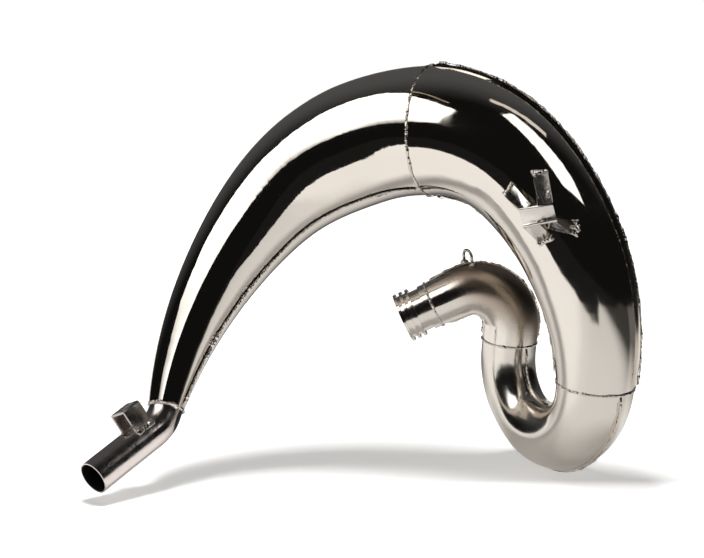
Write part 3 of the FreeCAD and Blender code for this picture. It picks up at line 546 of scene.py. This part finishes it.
def polish_marks(tree, place, smooth, dull):
    """Roughness from fine polishing marks, and a faint haze in a few places."""
    marks = noise_on(tree, place, Scale=60.0, Detail=6.0, Roughness=0.65)
    haze = noise_on(tree, place, Scale=21.0, Detail=4.0, Roughness=0.6)
    even = ramp(tree, marks, MARKS_LOW, MARKS_HIGH, smooth, dull)
    return combine(tree, "ADD", even, ramp(tree, haze, HAZE_START, HAZE_FULL, 0.0, HAZE_ROUGHER))


def rough_and_shaded_patch(tree, place, colour, rough, direction, start, full, rougher, shade_tint):
    """A patch that grows along a direction and is rougher there; a tint darker than white is painted shade.
    Gives back the new colour and roughness.
    """
    share = ramp(tree, vector_math(tree, "DOT_PRODUCT", place, direction), start, full, 0.0, 1.0)
    rough = combine(tree, "ADD", rough, combine(tree, "MULTIPLY", share, rougher))
    return blend_colour(tree, "MULTIPLY", share, colour, shade_tint), rough


def shaded_bore(tree, place, colour, rough, middle, axis, radius):
    """Painted shade: dark, rougher metal nearer to the axis than the radius; gives back the new colour and
    roughness.
    """
    offset = vector_math(tree, "SUBTRACT", place, middle)
    across = vector_math(tree, "CROSS_PRODUCT", offset, axis)
    inside = combine(tree, "LESS_THAN", vector_math(tree, "LENGTH", across), radius)
    rough = combine(tree, "ADD", rough, combine(tree, "MULTIPLY", inside, BORE_ROUGHER))
    return blend_colour(tree, "MIX", inside, colour, BORE_SHADE), rough


# %% Nickel plate
def nickel_material(name, tints, polish, waves, patch=None, bore=None):
    """Mirror metal.

    tints are the warm and cool colour of the plate, polish is its lowest and highest roughness, and waves
    are the height and scale of the sheet's waves. patch and bore are what rough_and_shaded_patch and shaded_bore take.
    """
    material, tree, output = new_material(name)
    place = object_place(tree)
    warm, cool = tints
    broad = noise_on(tree, place, Scale=9.0, Detail=3.0, Roughness=0.55)
    colour = blend_colour(tree, "MIX", broad, opaque(warm), cool)
    rough = polish_marks(tree, place, *polish)
    if patch:
        colour, rough = rough_and_shaded_patch(tree, place, colour, rough, *patch)
    if bore:
        colour, rough = shaded_bore(tree, place, colour, rough, *bore)
    height, scale = waves
    bump = add(tree, "ShaderNodeBump", Strength=1.0, Distance=height)
    feed(tree, noise_on(tree, place, Scale=scale, Detail=2.0, Roughness=0.5), bump.inputs["Height"])
    shader = add(tree, "ShaderNodeBsdfPrincipled", Metallic=1.0)
    feed(tree, colour, shader.inputs["Base Color"])
    feed(tree, rough, shader.inputs["Roughness"])
    feed(tree, bump.outputs["Normal"], shader.inputs["Normal"])
    feed(tree, shader.outputs["BSDF"], output.inputs["Surface"])
    return material


# %% A finish for each pressing and fitting
PLATE = ((0.80, 0.74, 0.665), (0.82, 0.775, 0.715))
TUBE_PLATE = ((0.74, 0.67, 0.63), (0.80, 0.74, 0.71))
WELD_PLATE = ((0.78, 0.73, 0.67), (0.70, 0.66, 0.61))
# the tail strap's nickel is made darker as painted shade
STRAP_SHADED_PLATE = ((0.46, 0.41, 0.385), (0.56, 0.51, 0.48))
SPIDER_PLATE = ((0.74, 0.69, 0.64), (0.80, 0.76, 0.71))
# the hook's nickel is made darker as painted shade, so that it mirrors less of the white table
HOOK_SHADED_PLATE = ((0.50, 0.46, 0.42), (0.60, 0.56, 0.52))
# direction, start, full, added roughness, tint of painted shade
BELLY_HAZE = ((0.0, 0.0, -1.0), -0.09, 0.06, 0.10, (1.0, 1.0, 1.0))
# painted shade: the top of the header's elbow is darker, browner and rougher
HEADER_PAINTED_SHADE = ((0.7, 0.0, 1.0), 0.050, 0.085, 0.22, (0.58, 0.51, 0.45))
# a point on the axis, the axis, radius
TAIL_BORE = ((-0.265962, -0.151685, -0.106912), (-0.627676, -0.667676, -0.400289), 0.0144)

cone_nickel = nickel_material("cone_nickel", PLATE, polish=(0.03, 0.07), waves=(0.0003, 24.0))
belly_nickel = nickel_material("belly_nickel", PLATE, polish=(0.04, 0.08), waves=(0.0003, 24.0),
                               patch=BELLY_HAZE)
bend_nickel = nickel_material("bend_nickel", PLATE, polish=(0.13, 0.19), waves=(0.0003, 30.0))
header_nickel = nickel_material("header_nickel", PLATE, polish=(0.09, 0.14), waves=(0.0004, 34.0),
                                patch=HEADER_PAINTED_SHADE)
turned_nickel = nickel_material("turned_nickel", PLATE, polish=(0.10, 0.18), waves=(0.0001, 120.0))
tube_nickel = nickel_material("tube_nickel", TUBE_PLATE, polish=(0.14, 0.26), waves=(0.0003, 90.0),
                              bore=TAIL_BORE)
weld_nickel = nickel_material("weld_nickel", WELD_PLATE, polish=(0.06, 0.14), waves=(0.0002, 300.0))
shaded_strap_nickel = nickel_material("shaded_strap_nickel", STRAP_SHADED_PLATE, polish=(0.24, 0.36), waves=(0.0003, 160.0))
spider_nickel = nickel_material("spider_nickel", SPIDER_PLATE, polish=(0.12, 0.22), waves=(0.0003, 160.0))
shaded_hook_nickel = nickel_material("shaded_hook_nickel", HOOK_SHADED_PLATE, polish=(0.12, 0.20), waves=(0.0001, 200.0))
print("finishes:", sorted(m.name for m in bpy.data.materials if m.name.endswith("_nickel")))

# %% Give each solid its finish
FINISHES = {"cone": cone_nickel, "belly": belly_nickel, "ubend": bend_nickel, "header": header_nickel,
            "spigot": turned_nickel, "spring": shaded_hook_nickel, "tail": tube_nickel}


def finish_for(name):
    """The finish of a CAD node, from the words of its name."""
    if "weld" in name:
        return weld_nickel
    if "bracket" in name:
        return shaded_strap_nickel if "tail" in name else spider_nickel
    return FINISHES[name.split("_")[0]]


for name, thing in nodes.items():
    thing.data.materials.clear()
    thing.data.materials.append(finish_for(name))
print("finished nodes:", len(nodes))

# %% [markdown]
# ## Weld beads
# A hand weld is a row of frozen drops, each a couple of millimetres long, and it is never quite even. The CAD
# solid is the smooth bead. Here a copy of it is cut into small even faces, and each point is moved along its
# normal by the distance to the nearest drop's middle. That gives real lumps that catch the light from any
# side, which a bump map alone would not.

# %% Copies of CAD nodes, and pieces that stand for them
SAME_POINT = 1e-6


def cad_copy(node):
    """A merged copy of a CAD node's mesh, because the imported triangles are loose."""
    bm = bmesh.new()
    bm.from_mesh(nodes[node].data)
    bmesh.ops.remove_doubles(bm, verts=bm.verts, dist=SAME_POINT)
    return bm


def new_piece(name, bm, material, node):
    """Turns a bmesh into a finished piece that stands for a CAD node."""
    mesh = bpy.data.meshes.new(name)
    bm.to_mesh(mesh)
    bm.free()
    mesh.shade_smooth()
    mesh.materials.append(material)
    piece = bpy.data.objects.new(name, mesh)
    scene.collection.objects.link(piece)
    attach(piece, "root")
    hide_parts(node)
    return piece


# %% Bead helpers
GRAIN = 0.00032


def even_faces(bm, name):
    """The same closed shape in small even faces, as a new bmesh."""
    rough = bpy.data.objects.new(name, bpy.data.meshes.new(name))
    bm.to_mesh(rough.data)
    bm.free()
    scene.collection.objects.link(rough)
    remesh = rough.modifiers.new("even", "REMESH")
    remesh.mode = "VOXEL"
    remesh.voxel_size = GRAIN
    even = bpy.data.meshes.new_from_object(rough.evaluated_get(bpy.context.evaluated_depsgraph_get()))
    bpy.data.objects.remove(rough)
    fine = bmesh.new()
    fine.from_mesh(even)
    bpy.data.meshes.remove(even)
    return fine


def drops(point, pitch):
    """About 0.5 at the middle of a drop and less than 0 between drops."""
    distances = noise.voronoi(point / pitch)[0]
    return 0.5 - distances[0]


def fatter_below(low, high, times):
    """Beads grow by this factor from the height high down to low."""
    def grow(point):
        share = min(max((high - point.z) / (high - low), 0.0), 1.0)
        return 1.0 + (times - 1.0) * share
    return grow


# %% Lumpy beads in place of the smooth ones
UNEVEN_REACH = 3.0


def lumpy_bead(node, pitch, swell, uneven, grow=None, fuller=0.0):
    """Replaces a weld node by drops that are swell high and a pitch apart.

    uneven is the share by which they differ, fuller lifts the whole bead by this share of swell, and grow
    says how much fatter it gets where.
    """
    bm = even_faces(cad_copy(node), node + "_rough")
    bmesh.ops.smooth_vert(bm, verts=bm.verts, factor=0.5, use_axis_x=True, use_axis_y=True, use_axis_z=True)
    bm.normal_update()
    for vert in bm.verts:
        lump = drops(vert.co, pitch) + uneven * noise.noise(vert.co / (UNEVEN_REACH * pitch)) + fuller
        more = grow(vert.co) if grow else 1.0
        vert.co += vert.normal * (swell * lump * more)
    bm.normal_update()
    return new_piece(node.replace("_weld", "_bead"), bm, weld_nickel, node)


CONE_SWELL = fatter_below(low=-0.07, high=0.10, times=3.2)
# a node takes the first row whose words are in its name
BEADS = (
    ("tail_girth", dict(pitch=0.0034, swell=0.0022, uneven=1.4, fuller=-0.15)),
    ("girth_weld", dict(pitch=0.0028, swell=0.0009, uneven=1.0)),
    ("cone_inner_seam", dict(pitch=0.0028, swell=0.0008, uneven=1.0, grow=CONE_SWELL)),
    ("seam_weld", dict(pitch=0.0030, swell=0.0011, uneven=1.0)),
    ("weld", dict(pitch=0.0030, swell=0.0018, uneven=0.8, fuller=0.35)),
)

beads = []
for node in sorted(node for node in nodes if "weld" in node):
    values = next(values for words, values in BEADS if words in node)
    beads.append(lumpy_bead(node, **values))
print("beads:", len(beads), "faces:", sum(len(bead.data.polygons) for bead in beads))

# %% [markdown]
# ## Spring hook
# The loop of wire on the header carries a thick coat of nickel, which makes it look a little stouter than
# the bare wire. Its nickel is painted darker as shade. Solidify would leave a second skin inside, so each
# point simply moves out along its normal.

# %% Spring hook with its coat of plate
HOOK_COAT = 0.0003

bm = cad_copy("spring_hook")
bm.normal_update()
for vert in bm.verts:
    vert.co += vert.normal * HOOK_COAT
hook = new_piece("plated_hook", bm, shaded_hook_nickel, "spring_hook")
print(hook.name, "faces:", len(hook.data.polygons))

# %% [markdown]
# ## Brackets
# Sheet metal cut by a punch has a slightly rolled edge, which shows as a thin bright line. The CAD brackets
# have knife edges, so copies of them get a fine bevel. Flat faces are joined first, because a bevel
# across the triangles of one flat face would leave creases. The pad on the belly leans forward at its top,
# so that it mirrors the white table. Its points move before the bevel, which keeps the edges even.

# %% Eased edges on the folded parts
EDGE_ROLL = 0.00035
FLAT_ANGLE, SHARP_ANGLE, CREASE_ANGLE = math.radians(0.5), math.radians(35.0), math.radians(50.0)


def is_sharp(edge):
    return len(edge.link_faces) == 2 and edge.calc_face_angle() > SHARP_ANGLE


def eased(node, name, material, bend=None):
    """Replaces a bracket node by a copy with rolled edges; bend moves its points first."""
    bm = cad_copy(node)
    if bend:
        for vert in bm.verts:
            vert.co += bend(vert.co)
    bmesh.ops.dissolve_limit(bm, angle_limit=FLAT_ANGLE, verts=bm.verts, edges=bm.edges)
    bmesh.ops.bevel(bm, geom=[edge for edge in bm.edges if is_sharp(edge)], offset=EDGE_ROLL,
                    offset_type="OFFSET", segments=2, profile=0.5, affect="EDGES", clamp_overlap=True,
                    material=-1)
    bmesh.ops.triangulate(bm, faces=[face for face in bm.faces if len(face.verts) > 4])
    piece = new_piece(name, bm, material, node)
    piece.data.set_sharp_from_angle(angle=CREASE_ANGLE)
    return piece


# %% Both brackets
PAD_MIDDLE = Vector((0.113508, -0.152421, 0.118503))
PAD_OUT = Vector((-0.285143, -0.957221, 0.049214))
PAD_UP = (Vector((0, 0, 1)) - PAD_OUT * PAD_OUT.z).normalized()
PAD_HALF, FOOT_REACH, PAD_LEAN = 0.0075, 0.030, 0.0030


def lean_pad(point):
    """The pad's upper edge comes forward, its lower edge goes back, and the feet stay."""
    up = (point - PAD_MIDDLE).dot(PAD_UP)
    if abs(up) < PAD_HALF:
        lean = up / PAD_HALF
    else:
        lean = math.copysign(max((FOOT_REACH - abs(up)) / (FOOT_REACH - PAD_HALF), 0.0), up)
    return PAD_OUT * (PAD_LEAN * lean)


for piece in (eased("tail_bracket", "tail_strap", shaded_strap_nickel),
              eased("belly_bracket", "belly_spider", spider_nickel, lean_pad)):
    print(piece.name, "faces:", len(piece.data.polygons))
